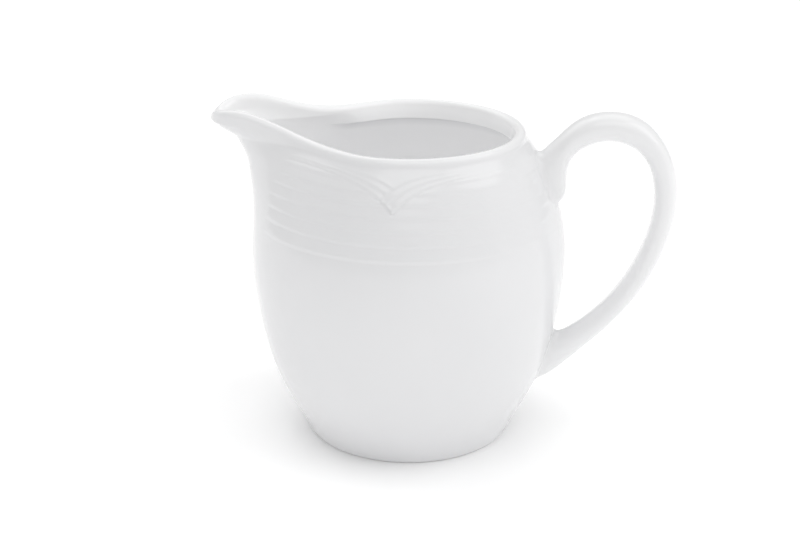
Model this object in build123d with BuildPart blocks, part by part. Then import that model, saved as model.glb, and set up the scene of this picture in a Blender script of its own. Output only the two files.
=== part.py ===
"""Porcelain cream jug: a slip-cast body with a pulled spout, and a cast strap handle luted on with slip.

The origin is the centre of the foot, on the table. +Z is up, the handle is towards +X and the spout
towards -X. All sizes are in millimetres.
"""
import os
from math import cos, radians, sin, sqrt

from build123d import *

# Body: height and outer radius at each level, from the foot up to the lip.
FOOT_RADIUS = 27.7
BELLY_RADIUS = 42.0
LIP_RADIUS = 30.8
RIM_HEIGHT = 84.3
BODY_PROFILE = [
    (0.0, FOOT_RADIUS),
    (4.0, 29.3),
    (12.0, 33.6),
    (22.0, 37.6),
    (35.0, 40.6),
    (50.0, BELLY_RADIUS),
    (61.0, 40.8),
    (69.0, 37.8),
    (76.0, 34.8),
    (80.0, 32.4),
    (82.3, LIP_RADIUS),
    (RIM_HEIGHT, LIP_RADIUS),
]
WALL = 3.0
FLOOR = 4.2
BOWL_ROUNDING = 7.0

# Foot: a ring round a shallow recess.
FOOT_RING_WIDTH = 3.2
FOOT_RECESS = 2.0

# Throat: the cast wall is left thick just under the lip, which makes a collar inside the mouth.
THROAT_RADIUS = 27.5
COLLAR_BOTTOM = 79.0

# Spout: how far its underside reaches from the axis at each level above its root.
SPOUT_ROOT = 50.0
SPOUT_REACH = 53.2
SPOUT_PROFILE = [
    (SPOUT_ROOT, BELLY_RADIUS),
    (61.0, 41.9),
    (69.0, 42.1),
    (76.0, 43.1),
    (80.0, 44.8),
    (82.3, 47.0),
    (RIM_HEIGHT, 50.0),
    (86.5, SPOUT_REACH),
    (92.0, SPOUT_REACH),
]
SPOUT_WALL = 2.6

# The spout's plan at the lip. Each entry is an angle from the spout's centreline, in degrees, and how
# far the outline stands there, forwards and sideways, from the plain circle of the mouth.
SPOUT_PLAN = [
    (78.0, 0.0, 0.0),
    (64.6, -0.5, -1.0),
    (45.0, -0.9, -0.9),
    (22.8, 4.2, 1.8),
    (13.4, 14.5, 3.5),
]

# Side view of the rim: distance along the spout and height of the top of the lip.
RIM_LINE = [
    (-50.0, RIM_HEIGHT),
    (-25.0, RIM_HEIGHT),
    (0.0, RIM_HEIGHT),
    (16.0, RIM_HEIGHT),
    (24.0, 84.9),
    (32.0, 86.9),
    (40.0, 89.1),
    (44.5, 89.7),
    (49.0, 88.9),
    (52.0, 86.8),
    (54.5, 83.5),
]

# Handle: the strap's outer edge, from its upper end in the wall round to its lower one, and its inner
# edge on the way back, as (x, z) pairs in its own plane.
HANDLE_DEPTH = 10.0
HANDLE_OUTER_ROUNDING = 2.9
HANDLE_INNER_ROUNDING = 2.0
HANDLE_OUTER_EDGE = [
    (32.6, 76.6),
    (34.9, 78.8),
    (40.0, 84.1),
    (46.1, 88.6),
    (52.9, 89.9),
    (60.4, 87.9),
    (67.0, 81.1),
    (70.3, 71.0),
    (69.4, 60.0),
    (65.0, 47.3),
    (57.2, 34.8),
    (47.4, 24.5),
    (40.5, 17.7),
    (35.8, 14.8),
    (33.0, 13.9),
]
HANDLE_INNER_EDGE = [
    (36.8, 28.0),
    (40.2, 28.2),
    (45.0, 30.5),
    (53.9, 39.4),
    (61.1, 51.5),
    (64.2, 63.5),
    (63.6, 73.3),
    (59.4, 80.2),
    (52.5, 82.6),
    (45.7, 80.3),
    (42.1, 76.0),
    (41.5, 70.0),
    (40.9, 66.7),
    (38.9, 65.6),
    (37.0, 65.4),
]

# Luting slip between the handle's ends and the wall.
SLIP_THICKNESS = 0.8


def radius_at(profile, height):
    """Radius of a profile at a height, on the straight line between its neighbouring points."""
    for (low, low_radius), (high, high_radius) in zip(profile, profile[1:]):
        if low <= height <= high:
            share = (height - low) / (high - low)
            return low_radius + share * (high_radius - low_radius)
    return profile[-1][1]


def spout_half(radius, reach):
    """Half of a level's outline, from the side of the body to the spout's centreline."""
    bulge = (reach - radius) / (SPOUT_REACH - LIP_RADIUS)
    half = []
    for angle, forwards, sideways in SPOUT_PLAN:
        along = radius * cos(radians(angle)) + bulge * forwards
        across = radius * sin(radians(angle)) + bulge * sideways
        half.append((-along, across))
    return half + [(-reach, 0)]


def level_section(height, radius, reach):
    """The horizontal section of a form at a height: the body's arc, closed by the spout's curve."""
    side = SPOUT_PLAN[0][0]
    with BuildSketch(Plane.XY.offset(height)) as section:
        with BuildLine():
            CenterArc((0, 0), radius, side - 180, 2 * (180 - side))
            if reach > radius:
                half = spout_half(radius, reach)
                points = half + [(x, -y) for x, y in reversed(half[:-1])]
                start = (-sin(radians(side)), -cos(radians(side)))
                end = (sin(radians(side)), -cos(radians(side)))
                Spline(*points, tangents=(start, end))
            else:
                CenterArc((0, 0), radius, 180 - side, 2 * side)
        make_face()
    return section.sketch


def levels_between(low, high):
    """Heights of the levels that a loft needs, from low to high."""
    heights = {height for height, _ in BODY_PROFILE + SPOUT_PROFILE if low < height < high}
    return [low, *sorted(heights), high]


def bowl_inset(height):
    """How far the bowl stands inside the outer form: the wall, and the rounding above the floor."""
    below = max(0.0, 1 - (height - FLOOR) / BOWL_ROUNDING)
    return WALL + BOWL_ROUNDING * (1 - sqrt(1 - below**2))


def outer_reach(height):
    """How far the body or its spout reaches towards -X at a height."""
    if height <= SPOUT_ROOT:
        return radius_at(BODY_PROFILE, height)
    return radius_at(SPOUT_PROFILE, height)


TOP = SPOUT_PROFILE[-1][0]

# Outer form of the body and the spout, solid, up to above the rim.
with BuildPart() as outer_form:
    loft([level_section(z, radius_at(BODY_PROFILE, z), outer_reach(z)) for z in levels_between(0, TOP)])

# The bowl inside, up to the underside of the collar.
with BuildPart() as bowl:
    rounding_levels = [FLOOR + BOWL_ROUNDING * share for share in (0, 0.12, 0.4)]
    bowl_levels = rounding_levels + levels_between(FLOOR + BOWL_ROUNDING, COLLAR_BOTTOM)
    bowl_sections = []
    for z in bowl_levels:
        inset = bowl_inset(z)
        bowl_sections.append(level_section(z, radius_at(BODY_PROFILE, z) - inset, outer_reach(z) - inset))
    loft(bowl_sections)

# The throat inside the collar, open into the spout's channel.
with BuildPart() as throat:
    throat_levels = levels_between(COLLAR_BOTTOM, TOP)
    loft([level_section(z, THROAT_RADIUS, outer_reach(z) - SPOUT_WALL) for z in throat_levels])

# Everything above the rim line, which dips from the spout's crest to the level mouth.
with BuildPart() as above_rim:
    with BuildSketch(Plane.XZ.offset(BELLY_RADIUS)):
        with BuildLine():
            points = [(-along, height) for along, height in RIM_LINE]
            rim = Spline(*points, tangents=((-1, 0), (-0.6, -1)))
            Polyline(rim @ 1, (-60, 83.5), (-60, 100), (50, 100), rim @ 0)
        make_face()
    extrude(amount=-2 * BELLY_RADIUS)

with BuildPart() as jug_body:
    add(outer_form.part)
    add(bowl.part, mode=Mode.SUBTRACT)
    add(throat.part, mode=Mode.SUBTRACT)
    add(above_rim.part, mode=Mode.SUBTRACT)
    with BuildSketch(Plane.XY):
        Circle(FOOT_RADIUS - FOOT_RING_WIDTH)
    extrude(amount=FOOT_RECESS, mode=Mode.SUBTRACT)


# The whole strap, with both ends run on into the wall.
with BuildPart() as strap:
    with BuildSketch(Plane.XZ.offset(HANDLE_DEPTH / 2)):
        with BuildLine():
            outer_edge = Spline(*HANDLE_OUTER_EDGE)
            inner_edge = Spline(*HANDLE_INNER_EDGE)
            Line(outer_edge @ 1, inner_edge @ 0)
            Line(inner_edge @ 1, outer_edge @ 0)
        make_face()
    extrude(amount=-HANDLE_DEPTH)
    long_edges = strap.edges().filter_by(GeomType.BSPLINE).sort_by(SortBy.LENGTH)
    fillet(long_edges[:2], radius=HANDLE_INNER_ROUNDING)
    side_edges = strap.edges().filter_by(lambda edge: abs(edge.center().Y) > 0.49 * HANDLE_DEPTH)
    fillet(side_edges.sort_by(SortBy.LENGTH)[-2:], radius=HANDLE_OUTER_ROUNDING)

# The body's side with the luting slip on it.
with BuildPart() as slip_form:
    with BuildSketch(Plane.XZ):
        with BuildLine():
            flank = Spline(*[(-radius - SLIP_THICKNESS, height) for height, radius in BODY_PROFILE[1:-2]])
            Polyline(flank @ 1, (0, BODY_PROFILE[-3][0]), (0, BODY_PROFILE[1][0]), flank @ 0)
        make_face()
    revolve(axis=Axis.Z)

with BuildPart() as handle:
    add(strap.part)
    add(slip_form.part, mode=Mode.SUBTRACT)

with BuildPart() as luting:
    add(strap.part)
    add(slip_form.part, mode=Mode.INTERSECT)
    add(outer_form.part, mode=Mode.SUBTRACT)

upper_joint, lower_joint = luting.solids().sort_by(Axis.Z, reverse=True)
os.makedirs("parts", exist_ok=True)
for name, piece in (
    ("jug_body", jug_body.part),
    ("handle", handle.part),
    ("upper_slip_joint", upper_joint),
    ("lower_slip_joint", lower_joint),
):
    piece.label = name
    export_step(piece, f"parts/{name}.step")
    print(name, round(piece.volume), piece.is_valid, piece.bounding_box())
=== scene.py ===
"""Porcelain cream jug: a glazed body with a pulled spout and a low ribbed band, and a cast loop handle.

Sizes are in millimetres in the frame of the CAD part, and meshes are made in metres. The spout points
towards -X, the handle towards +X, and the jug is the same on both sides of the XZ plane.
"""
import math

import bpy
import numpy as np
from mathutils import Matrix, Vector


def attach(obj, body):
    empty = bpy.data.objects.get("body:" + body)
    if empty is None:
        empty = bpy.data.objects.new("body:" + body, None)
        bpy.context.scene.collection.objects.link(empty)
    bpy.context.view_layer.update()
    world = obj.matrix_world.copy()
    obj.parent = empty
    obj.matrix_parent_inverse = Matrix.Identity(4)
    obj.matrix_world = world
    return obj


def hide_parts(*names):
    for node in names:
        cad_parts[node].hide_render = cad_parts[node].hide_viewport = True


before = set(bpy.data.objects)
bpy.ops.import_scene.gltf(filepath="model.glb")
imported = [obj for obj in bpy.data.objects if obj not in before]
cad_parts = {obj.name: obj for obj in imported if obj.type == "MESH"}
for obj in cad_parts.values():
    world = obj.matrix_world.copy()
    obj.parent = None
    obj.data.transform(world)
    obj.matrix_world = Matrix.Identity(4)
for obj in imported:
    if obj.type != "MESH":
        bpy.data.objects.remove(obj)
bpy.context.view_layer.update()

MM = 0.001


# ---------------------------------------------------------------- curves and meshes

def spline(knots, values, at, start_slope=None, end_slope=None):
    """The cubic spline through values at knots, held outside them; an end without a slope is natural."""
    x = np.asarray(knots, float)
    y = np.asarray(values, float)
    gap = np.diff(x)
    rise = np.diff(y) / gap
    last = len(x) - 1
    matrix = np.zeros((last + 1, last + 1))
    right_side = np.zeros(last + 1)
    for i in range(1, last):
        matrix[i, i - 1:i + 2] = gap[i - 1], 2 * (gap[i - 1] + gap[i]), gap[i]
        right_side[i] = 6 * (rise[i] - rise[i - 1])
    matrix[0, 0] = matrix[last, last] = 1
    if start_slope is not None:
        matrix[0, :2] = 2 * gap[0], gap[0]
        right_side[0] = 6 * (rise[0] - start_slope)
    if end_slope is not None:
        matrix[last, -2:] = gap[-1], 2 * gap[-1]
        right_side[last] = 6 * (end_slope - rise[-1])
    bend = np.linalg.solve(matrix, right_side)
    at = np.clip(np.asarray(at, float), x[0], x[-1])
    k = np.clip(np.searchsorted(x, at) - 1, 0, last - 1)
    left, right = at - x[k], x[k + 1] - at
    cubic = (bend[k] * right**3 + bend[k + 1] * left**3) / (6 * gap[k])
    line = (y[k] / gap[k] - bend[k] * gap[k] / 6) * right
    return cubic + line + (y[k + 1] / gap[k] - bend[k + 1] * gap[k] / 6) * left


def ease(value, low, high):
    """0 below low, 1 above high, and a smooth step between."""
    share = np.clip((value - low) / (high - low), 0, 1)
    return share * share * (3 - 2 * share)


def evenly(points, count):
    """Where count points lie at equal steps along a polyline, as shares of its point numbers."""
    steps = np.linalg.norm(np.diff(points, axis=0), axis=1)
    along = np.concatenate([[0], np.cumsum(steps)])
    return np.interp(np.linspace(0, along[-1], count), along, np.arange(len(points)))


def mesh_object(name, vertices, faces, materials, sharp_degrees=None):
    """A smooth-shaded mesh object from vertices in millimetres."""
    mesh = bpy.data.meshes.new(name)
    mesh.from_pydata((np.asarray(vertices) * MM).tolist(), [], faces)
    mesh.validate()
    mesh.polygons.foreach_set("use_smooth", [True] * len(mesh.polygons))
    for material in materials:
        mesh.materials.append(material)
    if sharp_degrees:
        mesh.set_sharp_from_angle(angle=math.radians(sharp_degrees))
    mesh.update()
    piece = bpy.data.objects.new(name, mesh)
    bpy.context.scene.collection.objects.link(piece)
    return piece


def set_painted_glow(piece, values):
    """How much painted light each vertex of a piece gets, which the glaze reads as a whiter colour."""
    painted_glow = piece.data.attributes.new("painted_glow", "FLOAT", "POINT")
    painted_glow.data.foreach_set("value", values)


def skin(rows, columns, closed_rows=False):
    """Quads between rows of vertices, each row a closed ring of columns."""
    faces = []
    for row in range(rows if closed_rows else rows - 1):
        here, there = row * columns, ((row + 1) % rows) * columns
        for column in range(columns):
            after = (column + 1) % columns
            faces.append((here + column, here + after, there + after, there + column))
    return faces


# ---------------------------------------------------------------- body form

# Outer radius at each height, for the plain part of the body.
LIP_HEIGHT = 82.8
LIP_ROUND = 1.52
BODY_PROFILE = [
    (0.0, 27.6), (4.0, 29.3), (9.0, 32.0), (18.5, 36.4), (29.5, 39.55), (40.5, 41.35), (51.0, 41.98),
    (60.5, 40.85), (68.0, 38.25), (73.5, 35.9), (78.2, 33.7), (80.2, 32.42), (81.4, 31.52),
    (LIP_HEIGHT, 30.78),
]
WALL = 3.0
THROAT_RADIUS = 27.35
COLLAR_BOTTOM = 78.7
COLLAR_EDGE = 79.4
FLOOR = 4.2
BOWL_ROUNDING = 9.0

# The dark line of painted shade under the collar: its height, half width and how much painted light it takes
# away.
CORNER_HEIGHT = 78.3
CORNER_WIDTH = 0.35
CORNER_SHADE = 1.0
# The collar fades in between these angles from the spout, in degrees.
COLLAR_ARC = (42, 62)
LIP_INSIDE = 27.74
# Inner radius where the wall leans in to the collar, at 78 and 81 mm.
LEANING_RADII = [30.9, 29.3]
THROAT_FLARE = 0.39
FLARE_START = 80.4

# The spout: how far its outside and its channel stand beyond the body at each height.
SPOUT_ROOT = 53.0
SPOUT_BULGE = [
    (SPOUT_ROOT, 0.0), (59.5, 0.5), (63.0, 1.4), (66.5, 2.8), (70.0, 4.6), (73.0, 6.35), (76.3, 8.4),
    (79.6, 11.8), (82.8, 16.6), (84.2, 19.2), (85.9, 21.75),
]
CHANNEL_BULGE = [
    (SPOUT_ROOT, 0.0), (60.0, 0.7), (66.3, 3.0), (70.0, 4.8), (73.6, 6.9), (77.0, 9.3), (79.4, 11.7),
    (81.2, 14.2), (83.2, 17.6), (84.9, 20.4), (85.9, 22.05),
]

# The lip's centreline on one side of the spout: distance along the spout, half width and height.
RIM_PATH = [
    (3.0, 29.1, 82.8), (8.0, 27.8, 82.8), (12.0, 25.7, 82.8), (16.0, 22.9, 82.9), (20.0, 19.8, 83.05),
    (24.0, 16.8, 83.5), (28.0, 14.3, 84.25), (32.0, 12.4, 85.4), (36.0, 11.1, 86.6), (40.0, 10.1, 87.7),
    (44.0, 9.1, 88.2), (48.0, 7.1, 87.8), (50.3, 4.0, 86.8), (51.1, 0.0, 85.9),
]

PLAIN_COLUMNS = 146
SPOUT_COLUMNS = 98


def body_radius(height):
    heights, radii = zip(*BODY_PROFILE)
    return spline(heights, radii, height, end_slope=0)


def bulge(table, height):
    heights, reach = zip(*table)
    return spline(heights, reach, height, start_slope=0)


def half_columns():
    """One side's columns, from the handle to the spout's tip: angle, lip point and its normal."""
    path = np.array(RIM_PATH)
    spout_angle = math.atan2(path[0, 1], path[0, 0])
    lip_radius = BODY_PROFILE[-1][1] - LIP_ROUND
    angles = np.linspace(math.pi, spout_angle, PLAIN_COLUMNS, endpoint=False)
    plain = np.stack([lip_radius * np.cos(angles), lip_radius * np.sin(angles),
                      np.full(len(angles), LIP_HEIGHT)], axis=1)
    chord = np.concatenate([[0], np.cumsum(np.linalg.norm(np.diff(path, axis=0), axis=1))])
    start = (math.sin(spout_angle), -math.cos(spout_angle), 0)
    end = (0, -1, 0)
    fine = np.linspace(0, chord[-1], 2000)
    curve = np.stack([spline(chord, path[:, i], fine, start[i], end[i]) for i in range(3)], axis=1)
    share = evenly(curve, SPOUT_COLUMNS)
    flank = np.stack([np.interp(share, np.arange(len(curve)), curve[:, i]) for i in range(3)], axis=1)
    flank_angles = spout_angle * (1 - np.linspace(0, 1, SPOUT_COLUMNS))
    tangent = np.gradient(flank[:, :2], axis=0)
    tangent[-1] = end[:2]
    tangent[0] = start[:2]
    tangent /= np.linalg.norm(tangent, axis=1)[:, None]
    normal = np.stack([-tangent[:, 1], tangent[:, 0]], axis=1)
    plain_normal = np.stack([np.cos(angles), np.sin(angles)], axis=1)
    return (np.concatenate([angles, flank_angles]), np.concatenate([plain, flank]),
            np.concatenate([plain_normal, normal]))


def body_columns():
    """Every column round the body: angle, lip point and normal in the frame's X and Y."""
    angles, lip, normal = half_columns()
    near = np.array([-1, -1])
    far = np.array([-1, 1])
    back = slice(-2, 0, -1)
    lip_xy = np.concatenate([lip[:, :2] * near, lip[back, :2] * far])
    normal_xy = np.concatenate([normal * near, normal[back] * far])
    around = np.stack([np.cos(angles), np.sin(angles)], axis=1)
    around_xy = np.concatenate([around * near, around[back] * far])
    return (np.concatenate([angles, angles[back]]), around_xy, lip_xy,
            np.concatenate([lip[:, 2], lip[back, 2]]), normal_xy)


# ---------------------------------------------------------------- relief

RIB_LINES = (61.3, 64.9, 68.1, 71.1, 74.1, 76.6, 78.9)
RIB_HEIGHT = 0.17
LAST_RIB_WIDTH = 2.4
# Where the relief fades: by angle from the spout, by angle from the handle, and by height under the lip.
SPOUT_FADE = (26, 36)
HANDLE_FADE = (9.8, 12.8)
LIP_FADE = (80.6, 81.8)
# How much of its height the relief loses towards the handle, and over which angles.
HANDLE_SIDE_LOSS = 0.7
HANDLE_SIDE = (10, 46)
# Each strand of the chevron: height at the middle, how far it climbs, and the angle over which it does.
STRANDS = ((72.3, 7.9, 11.0), (75.5, 5.3, 11.0), (77.8, 3.5, 9.0))
STRAND_TOP = 1.5
STRAND_HEIGHT = 0.15
TIP_HEIGHT = 0.40
TIP_REACH = 4.0
EDGE_WIDTH = 1.5
MM_PER_DEGREE = 0.63


def rib_shape(share):
    """Height of a rib across its width: a rounded step at the bottom, a crest, and a long fall to nothing."""
    return ease(share, -0.15, 0.15) * (1 - ease(share, 0.15, 1.0))


def strand_line(strand, angle):
    """Height of a strand's lower edge at an angle from the chevron's middle, in degrees."""
    middle, climb, spread = strand
    return middle + climb * (1 - np.exp(-angle / spread))


def ribs_between(z, edges):
    """Ribs that each run from one edge up to the next, as shares of their height."""
    ribs = np.zeros_like(z)
    for low, high in zip(edges, edges[1:]):
        ribs = np.maximum(ribs, rib_shape((z - low) / (high - low)))
    return ribs


def strands(z, side_angle):
    """The strands that climb as side_angle grows, and the lower edges of the first and the last."""
    edges = [strand_line(strand, side_angle) for strand in STRANDS]
    return ribs_between(z, edges + [edges[-1] + STRAND_TOP]), edges[0], edges[-1]


def strand_height(z, angle):
    """Height of the strands, which stand out most round the chevron's tip."""
    from_tip = np.hypot(z - STRANDS[0][0], MM_PER_DEGREE * angle)
    return STRAND_HEIGHT + (TIP_HEIGHT - STRAND_HEIGHT) * np.exp(-(from_tip / TIP_REACH) ** 2)


def relief(position):
    """How far the relief stands out of the body at each point of its outside."""
    x, y, z = position[..., 0], position[..., 1], position[..., 2]
    angle = np.degrees(np.arctan2(x, np.abs(y)))
    ribs = RIB_HEIGHT * ribs_between(z, RIB_LINES + (RIB_LINES[-1] + LAST_RIB_WIDTH,))
    over, over_first, over_last = strands(z, angle)
    under, under_first, _ = strands(z, -angle)
    # The strands on the handle's side lie over the others, which end against their last edge.
    edge = np.where(angle < 0, 1 - ease(z - under_first, 0.3, EDGE_WIDTH), 0)
    over = np.maximum(over, edge)
    chevron = np.where((angle < 0) & (z > over_last), under * ease(z - over_last, 0, 0.7), over)
    chevron = chevron * strand_height(z, angle)
    foot = np.maximum(over_first, under_first)
    height = np.where(z > foot, chevron * ease(z - foot, -0.3, 0.3), ribs * ease(foot - z, 0.1, 0.6))
    from_spout = np.degrees(np.arctan2(np.abs(y), -x))
    height = height * ease(from_spout, *SPOUT_FADE) * ease(180 - from_spout, *HANDLE_FADE)
    height = height * (1 - HANDLE_SIDE_LOSS * ease(angle, *HANDLE_SIDE))
    return height * (1 - ease(z, *LIP_FADE))


# ---------------------------------------------------------------- body mesh

def outer_wall(columns, shares):
    """Rows of the outside, from the spout's root up to the lip, with the relief on them."""
    _, around, lip_xy, lip_z, normal = columns
    reach = lip_xy + LIP_ROUND * normal - BODY_PROFILE[-1][1] * around
    rows = []
    for share in shares:
        z = SPOUT_ROOT + (lip_z - SPOUT_ROOT) * share
        out = bulge(SPOUT_BULGE, z) / bulge(SPOUT_BULGE, lip_z)
        xy = body_radius(z)[:, None] * around + out[:, None] * reach
        rows.append(np.column_stack([xy, z]))
    grid = np.array(rows)
    up = np.gradient(grid, axis=0)
    along = (np.roll(grid, -1, axis=1) - np.roll(grid, 1, axis=1)) / 2
    facing = np.cross(up, along)
    facing /= np.linalg.norm(facing, axis=2)[..., None]
    outward = np.sign((facing[..., :2] * grid[..., :2]).sum(axis=2).mean())
    return grid + outward * facing * relief(grid)[..., None]


def lip_rows(columns, steps):
    """Rows over the round of the lip, from its outside to its inside."""
    _, _, lip_xy, lip_z, normal = columns
    rows = []
    for turn in np.linspace(0, math.pi, steps):
        xy = lip_xy + LIP_ROUND * math.cos(turn) * normal
        rows.append(np.column_stack([xy, lip_z + LIP_ROUND * math.sin(turn)]))
    return np.array(rows)


def bowl_radius(height, collar):
    """Inner radius: the wall's inside, the collar under the lip, and the rounding above the floor."""
    heights = [SPOUT_ROOT, 60.0, 68.0, 74.0, 78.0, 81.0, LIP_HEIGHT]
    plain_radii = [body_radius(h) - WALL for h in heights[:4]] + LEANING_RADII + [LIP_INSIDE]
    wall = np.where(height > SPOUT_ROOT, spline(heights, plain_radii, height), body_radius(height) - WALL)
    flare = np.clip((height - FLARE_START) / (LIP_HEIGHT - FLARE_START), 0, 1) ** 2
    throat = THROAT_RADIUS + THROAT_FLARE * flare
    under = ease(height, COLLAR_BOTTOM, COLLAR_EDGE) * collar
    rounding = np.clip(1 - (height - FLOOR) / BOWL_ROUNDING, 0, 1)
    return wall * (1 - under) + throat * under - BOWL_ROUNDING * (1 - np.sqrt(1 - rounding**2))


def inner_wall(columns, shares, low_heights):
    """Rows of the inside, from the lip down to the floor."""
    angles, around, lip_xy, lip_z, normal = columns
    collar = ease(np.degrees(angles), *COLLAR_ARC)
    reach = lip_xy - LIP_ROUND * normal - LIP_INSIDE * around
    rows = []
    for share in shares:
        z = SPOUT_ROOT + (lip_z - SPOUT_ROOT) * share
        out = bulge(CHANNEL_BULGE, z) / bulge(CHANNEL_BULGE, lip_z)
        xy = bowl_radius(z, collar)[:, None] * around + out[:, None] * reach
        rows.append(np.column_stack([xy, z]))
    for height in low_heights:
        radius = bowl_radius(np.full(len(lip_z), height), collar)
        rows.append(np.column_stack([radius[:, None] * around, np.full(len(lip_z), height)]))
    return np.array(rows)


def ring_rows(columns, profile):
    """Rows at given radii and heights."""
    around = columns[1]
    return np.array([np.column_stack([radius * around, np.full(len(around), height)])
                     for radius, height in profile])


# The foot: radius and height from its outer edge, round the ring, to near the middle of the recess.
FOOT_PROFILE = [
    (27.85, 0.7), (27.62, 0.3), (27.2, 0.07), (26.7, 0.0), (25.6, 0.0), (25.1, 0.07), (24.75, 0.3),
    (24.55, 0.8), (24.4, 1.4), (24.05, 1.8), (23.3, 2.0), (18.0, 2.05), (10.0, 2.1), (3.0, 2.1),
]
UNGLAZED_ROWS = (2, 6)
FOOT_TOP = 1.6
FLOOR_DISH = 0.15
FLOOR_SHARES = (0.75, 0.4, 0.12)


def corner_shade(height, angles):
    """How much painted light is taken from the corner where the bowl's wall meets the collar's underside,
    leaving painted shade there.
    """
    from_corner = (height - CORNER_HEIGHT) / CORNER_WIDTH
    return CORNER_SHADE * np.exp(-from_corner**2) * ease(np.degrees(angles), *COLLAR_ARC)


def make_body(glaze, bisque):
    columns = body_columns()
    count = len(columns[0])
    shares = np.concatenate([np.linspace(0, 0.22, 7, endpoint=False), np.linspace(0.22, 1, 94)])
    outside = outer_wall(columns, shares)
    low_levels = np.linspace(SPOUT_ROOT, FOOT_TOP, 24)[1:]
    low_outside = ring_rows(columns, [(float(body_radius(z)), z) for z in low_levels])
    lip = lip_rows(columns, 15)
    inner_shares = np.concatenate([np.linspace(1, 0.84, 20), np.linspace(0.84, 0, 14)[1:]])
    low_heights = np.concatenate([np.linspace(SPOUT_ROOT, 14, 10)[1:],
                                  FLOOR + BOWL_ROUNDING * np.array([0.85, 0.6, 0.4, 0.24, 0.12, 0.04, 0])])
    inside = inner_wall(columns, inner_shares, low_heights)
    floor_radius = float(np.hypot(*inside[-1][0, :2]))
    floor = ring_rows(columns, [(floor_radius * share, FLOOR - FLOOR_DISH * (1 - share))
                                for share in FLOOR_SHARES])
    foot = ring_rows(columns, FOOT_PROFILE)
    rows = np.concatenate([floor[::-1], inside[::-1], lip[::-1][1:], outside[::-1][1:], low_outside, foot])
    faces = skin(len(rows), count)
    vertices = rows.reshape(-1, 3)
    last_row = (len(rows) - 1) * count
    vertices = np.concatenate([vertices, [[0, 0, FLOOR - 0.17], [0, 0, FOOT_PROFILE[-1][1]]]])
    top_centre, bottom_centre = len(vertices) - 2, len(vertices) - 1
    for column in range(count):
        after = (column + 1) % count
        faces.append((top_centre, after, column))
        faces.append((bottom_centre, last_row + column, last_row + after))
    piece = mesh_object("porcelain_body", vertices, faces, [glaze, bisque])
    # Painted light: the bowl's inside is painted whiter, standing in for light through the walls, fading out
    # over the lip.
    painted_glow = np.zeros(rows.shape[:2])
    bowl_rows = len(floor) + len(inside)
    painted_glow[:bowl_rows] = 1
    # Painted shade: a dark line along the corner under the collar.
    painted_glow[:bowl_rows] -= corner_shade(rows[:bowl_rows, :, 2], columns[0])
    painted_glow[bowl_rows:][:len(lip) - 1] = np.linspace(1, 0, len(lip) - 1)[:, None]
    set_painted_glow(piece, np.concatenate([painted_glow.ravel(), [1, 0]]))
    first_foot = len(rows) - len(FOOT_PROFILE)
    low = (first_foot + UNGLAZED_ROWS[0]) * count
    high = (first_foot + UNGLAZED_ROWS[1]) * count
    indices = np.zeros(len(piece.data.polygons), int)
    indices[low:high] = 1
    piece.data.polygons.foreach_set("material_index", indices.tolist())
    return piece


# ---------------------------------------------------------------- handle

# The strap's inner and outer edge at each station, as (x, z) pairs, from the upper end to the lower one.
HANDLE_STATIONS = [
    ((38.2, 65.0), (33.3, 77.6)), ((39.9, 65.7), (34.9, 79.0)), ((41.2, 67.3), (36.0, 80.1)),
    ((41.6, 70.3), (37.2, 81.3)), ((41.7, 74.2), (38.9, 83.0)), ((42.9, 77.8), (41.3, 85.4)),
    ((47.3, 81.4), (46.1, 88.6)), ((52.5, 82.6), (52.9, 89.85)), ((57.9, 81.3), (60.6, 87.8)),
    ((62.3, 76.8), (67.6, 80.2)), ((64.4, 68.7), (70.4, 69.2)), ((63.7, 60.4), (69.4, 59.6)),
    ((59.4, 48.0), (64.4, 45.8)), ((54.0, 39.3), (58.2, 36.1)), ((46.8, 31.8), (50.5, 27.6)),
    ((42.5, 28.7), (45.2, 22.4)), ((40.6, 28.1), (40.6, 18.1)), ((39.0, 28.2), (36.2, 15.1)),
    ((37.4, 28.0), (33.8, 14.3)),
]
STRAP_DEPTH = 10.0
STRAP_SQUARENESS = 2.35
STRAP_SECTIONS = 150
STRAP_SIDES = 44
FILLET = 1.8
BEAD_DEPTH = 0.7
BEAD_PROUD = 0.012
BEAD_FINENESS = 1500
# How much painted light the handle gets: a whiter colour standing in for light through the strap.
HANDLE_PAINTED_GLOW = 0.45


def strap_grid(sections):
    """Points of the strap's surface: sections along it, and sides round each section."""
    inner = np.array([station[0] for station in HANDLE_STATIONS])
    outer = np.array([station[1] for station in HANDLE_STATIONS])
    middle = (inner + outer) / 2
    chord = np.concatenate([[0], np.cumsum(np.linalg.norm(np.diff(middle, axis=0), axis=1))])
    fine = np.linspace(0, chord[-1], sections)
    inner_edge = np.stack([spline(chord, inner[:, i], fine) for i in range(2)], axis=1)
    outer_edge = np.stack([spline(chord, outer[:, i], fine) for i in range(2)], axis=1)
    turn = np.linspace(0, 2 * math.pi, STRAP_SIDES, endpoint=False)
    power = 2 / STRAP_SQUARENESS
    sideways = np.sign(np.cos(turn)) * np.abs(np.cos(turn)) ** power
    outwards = np.sign(np.sin(turn)) * np.abs(np.sin(turn)) ** power
    centre = (inner_edge + outer_edge) / 2
    half = (outer_edge - inner_edge) / 2
    grid = np.zeros((sections, STRAP_SIDES, 3))
    grid[..., 0] = centre[:, None, 0] + half[:, None, 0] * outwards
    grid[..., 1] = STRAP_DEPTH / 2 * sideways
    grid[..., 2] = centre[:, None, 1] + half[:, None, 1] * outwards
    return grid


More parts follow.
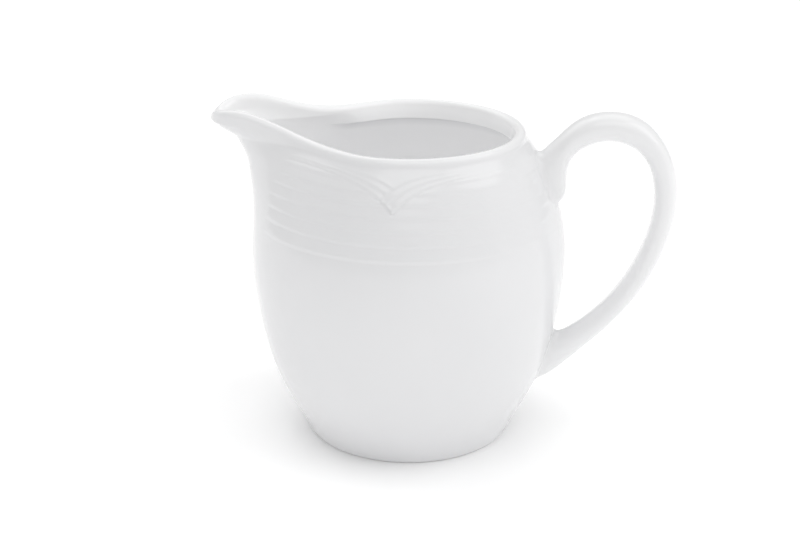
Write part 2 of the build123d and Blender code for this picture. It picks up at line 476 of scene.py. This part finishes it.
def make_handle(glaze):
    grid = strap_grid(STRAP_SECTIONS)
    faces = skin(STRAP_SECTIONS, STRAP_SIDES)
    faces.append(tuple(range(STRAP_SIDES))[::-1])
    last = (STRAP_SECTIONS - 1) * STRAP_SIDES
    faces.append(tuple(range(last, last + STRAP_SIDES)))
    piece = mesh_object("loop_handle", grid.reshape(-1, 3), faces, [glaze], sharp_degrees=50)
    # Painted light: the whole handle is painted a little whiter.
    set_painted_glow(piece, np.full(len(piece.data.vertices), HANDLE_PAINTED_GLOW))
    return piece


def body_gap(points):
    """How far points stand outside the plain body, along the radius."""
    return np.hypot(points[..., 0], points[..., 1]) - body_radius(points[..., 2])


def make_slip_joint(name, glaze, upper):
    """The bead of slip in the corner between one end of the strap and the wall."""
    grid = strap_grid(BEAD_FINENESS)
    if not upper:
        grid = grid[::-1]
    grid = grid[:BEAD_FINENESS // 4]
    rings = []
    for side in range(STRAP_SIDES):
        line = grid[:, side]
        outside = body_gap(line) > 0
        meets = int(np.argmax(outside))
        contact = line[meets]
        along = np.concatenate([[0], np.cumsum(np.linalg.norm(np.diff(line[meets:], axis=0), axis=1))])
        on_strap = line[meets + int(np.searchsorted(along, FILLET))]
        rings.append((contact, on_strap))
    contact = np.array([ring[0] for ring in rings])
    on_strap = np.array([ring[1] for ring in rings])
    centre = contact.mean(axis=0)
    radial = np.column_stack([contact[:, :2], np.zeros(len(contact))])
    radial /= np.linalg.norm(radial, axis=1)[:, None]
    slope = (body_radius(contact[:, 2] + 0.1) - body_radius(contact[:, 2] - 0.1)) / 0.2
    wall_normal = radial - np.outer(slope, [0, 0, 1])
    wall_normal /= np.linalg.norm(wall_normal, axis=1)[:, None]
    around = np.roll(contact, -1, axis=0) - np.roll(contact, 1, axis=0)
    away = np.cross(around, wall_normal)
    away /= np.linalg.norm(away, axis=1)[:, None]
    away *= np.sign(((contact - centre) * away).sum(axis=1))[:, None]
    on_wall = contact + FILLET * away
    radius = body_radius(on_wall[:, 2]) + BEAD_PROUD
    on_wall[:, :2] *= (radius / np.hypot(on_wall[:, 0], on_wall[:, 1]))[:, None]
    inwards = (centre - on_strap) * [0, 1, 1]
    inwards /= np.linalg.norm(inwards, axis=1)[:, None]
    rows = []
    shares = np.linspace(0, 1, 9)
    for share in shares:
        rows.append((1 - share) ** 2 * on_strap + 2 * share * (1 - share) * contact + share**2 * on_wall)
    rows.append(on_wall - BEAD_DEPTH * wall_normal)
    rows.append(contact - BEAD_DEPTH * wall_normal + BEAD_DEPTH * inwards)
    rows.append(on_strap + BEAD_DEPTH * inwards)
    rows = np.array(rows)
    faces = skin(len(rows), STRAP_SIDES, closed_rows=True)
    piece = mesh_object(name, rows.reshape(-1, 3), faces, [glaze], sharp_degrees=50)
    # The bead's painted light runs from the handle's to the body's, and its last three rows are hidden.
    painted_glow = HANDLE_PAINTED_GLOW * np.concatenate([1 - shares, [0, 0.5, 1]])
    set_painted_glow(piece, np.repeat(painted_glow, STRAP_SIDES))
    return piece


# ---------------------------------------------------------------- materials

def node_material(name):
    material = bpy.data.materials.new(name)
    material.use_nodes = True
    nodes = material.node_tree.nodes
    return material, nodes, material.node_tree.links, nodes["Principled BSDF"]


def noise(nodes, links, scale, detail):
    """A noise texture in the object's own space, with cells of a size in millimetres."""
    place = nodes.new("ShaderNodeTexCoord")
    texture = nodes.new("ShaderNodeTexNoise")
    texture.inputs["Scale"].default_value = 1 / (scale * MM)
    texture.inputs["Detail"].default_value = detail
    links.new(place.outputs["Object"], texture.inputs["Vector"])
    return texture.outputs["Fac"]


def varied(nodes, links, factor, low, high):
    """A number that runs from low to high with a factor."""
    spread = nodes.new("ShaderNodeMapRange")
    spread.inputs["From Min"].default_value = 0.3
    spread.inputs["From Max"].default_value = 0.7
    spread.inputs["To Min"].default_value = low
    spread.inputs["To Max"].default_value = high
    links.new(factor, spread.inputs["Value"])
    return spread.outputs["Result"]


def blended(nodes, links, factor, low, high):
    """A colour that runs from low to high with a factor."""
    ramp = nodes.new("ShaderNodeValToRGB")
    ramp.color_ramp.elements[0].position = 0.3
    ramp.color_ramp.elements[1].position = 0.7
    ramp.color_ramp.elements[0].color = (*low, 1)
    ramp.color_ramp.elements[1].color = (*high, 1)
    links.new(factor, ramp.inputs["Fac"])
    return ramp.outputs["Color"]


def glazed_porcelain():
    """White glaze, painted whiter where a vertex's painted light is high: a stand-in for light through the
    walls.
    """
    material, nodes, links, shader = node_material("glazed_porcelain")
    clouds = noise(nodes, links, 24, 3)
    plain_glaze_colour = blended(nodes, links, clouds, (0.788, 0.789, 0.799), (0.802, 0.803, 0.812))
    # Painted light: the whiter colour that stands in for light through the walls.
    painted_glow_colour = blended(nodes, links, clouds, (0.976, 0.976, 0.979), (0.986, 0.986, 0.988))
    painted_glow = nodes.new("ShaderNodeAttribute")
    painted_glow.attribute_name = "painted_glow"
    colour = nodes.new("ShaderNodeMix")
    colour.data_type = "RGBA"
    links.new(painted_glow.outputs["Fac"], colour.inputs["Factor"])
    links.new(plain_glaze_colour, colour.inputs["A"])
    links.new(painted_glow_colour, colour.inputs["B"])
    links.new(colour.outputs["Result"], shader.inputs["Base Color"])
    links.new(varied(nodes, links, noise(nodes, links, 15, 4), 0.13, 0.19), shader.inputs["Roughness"])
    ripple = nodes.new("ShaderNodeBump")
    ripple.inputs["Strength"].default_value = 0.04
    ripple.inputs["Distance"].default_value = 0.3 * MM
    links.new(noise(nodes, links, 5, 2), ripple.inputs["Height"])
    links.new(ripple.outputs["Normal"], shader.inputs["Normal"])
    shader.inputs["IOR"].default_value = 1.5
    return material


def unglazed_porcelain():
    material, nodes, links, shader = node_material("unglazed_porcelain")
    colour = blended(nodes, links, noise(nodes, links, 0.8, 4), (0.72, 0.71, 0.69), (0.79, 0.785, 0.77))
    links.new(colour, shader.inputs["Base Color"])
    grain = nodes.new("ShaderNodeBump")
    grain.inputs["Strength"].default_value = 0.3
    grain.inputs["Distance"].default_value = 0.05 * MM
    links.new(noise(nodes, links, 0.3, 5), grain.inputs["Height"])
    links.new(grain.outputs["Normal"], shader.inputs["Normal"])
    links.new(varied(nodes, links, noise(nodes, links, 0.5, 4), 0.62, 0.78), shader.inputs["Roughness"])
    return material


# ---------------------------------------------------------------- stage, lights and camera

def make_stage():
    material, nodes, links, shader = node_material("pale_floor")
    colour = blended(nodes, links, noise(nodes, links, 60, 2), (0.955, 0.955, 0.955), (0.965, 0.965, 0.965))
    links.new(colour, shader.inputs["Base Color"])
    links.new(varied(nodes, links, noise(nodes, links, 20, 3), 0.85, 0.95), shader.inputs["Roughness"])
    shader.inputs["Emission Color"].default_value = (1, 1, 1, 1)
    shader.inputs["Emission Strength"].default_value = 0.02
    size = 3000
    corners = [(-size, -size, 0), (size, -size, 0), (size, size, 0), (-size, size, 0)]
    floor = mesh_object("floor", corners, [(0, 1, 2, 3)], [material])
    return floor


def soft_sun(name, direction, strength, angle=45):
    """Light from a wide patch of sky in a direction, the same all over the floor."""
    data = bpy.data.lights.new(name, "SUN")
    data.energy = strength
    data.angle = math.radians(angle)
    sun = bpy.data.objects.new(name, data)
    sun.rotation_euler = Vector(direction).to_track_quat("Z", "Y").to_euler()
    bpy.context.scene.collection.objects.link(sun)
    return sun


# Wide soft suns: the direction that each shines from, and its strength. They were fitted to the
# photograph's tones and then changed a little.
SUNS = {
    "front_high": ((0.05, -0.5, 0.85), 0.48),
    "right_high": ((0.7, 0, 0.8), 0.71),
    "back_high": ((0, 0.6, 0.8), 0.28),
    "back_left_high": ((-0.6, 0.5, 0.8), 0.36),
    "back_left": ((-0.7, 0.6, 0.45), 0.15),
    "left_low": ((-0.8, 0.5, 0.2), 0.03),
    "right_low": ((1, 0.1, 0.2), 0.12),
}
SURROUND = 0.56
WASH_DIRECTION = (-0.1, -0.05, 1)
WASH_STRENGTH = 0.46
WASH_ANGLE = 30


def make_lights(floor):
    """An even surround, soft suns, one more on the floor alone, and bounces enough for the bowl."""
    scene = bpy.context.scene
    world = bpy.data.worlds.new("studio")
    world.use_nodes = True
    world.node_tree.nodes["Background"].inputs["Color"].default_value = (1, 1, 1, 1)
    world.node_tree.nodes["Background"].inputs["Strength"].default_value = SURROUND
    scene.world = world
    for name, (direction, strength) in SUNS.items():
        soft_sun(name, direction, strength)
    wash = soft_sun("floor_wash", WASH_DIRECTION, WASH_STRENGTH, WASH_ANGLE)
    washed = bpy.data.collections.new("washed")
    washed.objects.link(floor)
    wash.light_linking.receiver_collection = washed
    scene.cycles.max_bounces = 24
    scene.cycles.diffuse_bounces = 16


# The camera, fitted to the photograph's edges: place, direction and lens.
CAMERA_PLACE = (44.4, -389.4, 193.3)
CAMERA_LOOKS = (-0.1116, 0.9288, -0.3533)
CAMERA_LENS = 69.58


def make_camera():
    data = bpy.data.cameras.new("camera")
    data.sensor_width = 36.0
    data.lens = CAMERA_LENS
    camera = bpy.data.objects.new("camera", data)
    camera.location = Vector(CAMERA_PLACE) * MM
    camera.rotation_euler = Vector(CAMERA_LOOKS).to_track_quat("-Z", "Y").to_euler()
    bpy.context.scene.collection.objects.link(camera)
    bpy.context.scene.camera = camera


# ---------------------------------------------------------------- the jug

def place(piece, node, slot):
    """A piece rides on the jug in place of its CAD node."""
    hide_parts(node)
    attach(piece, "root")


make_camera()
make_lights(make_stage())
bpy.context.scene.view_settings.view_transform = "Standard"
glaze = glazed_porcelain()
place(make_body(glaze, unglazed_porcelain()), "jug_body", "glazed_porcelain")
place(make_handle(glaze), "handle", "glazed_porcelain")
place(make_slip_joint("upper_slip_bead", glaze, upper=True), "upper_slip_joint", "fired_slip")
place(make_slip_joint("lower_slip_bead", glaze, upper=False), "lower_slip_joint", "fired_slip")
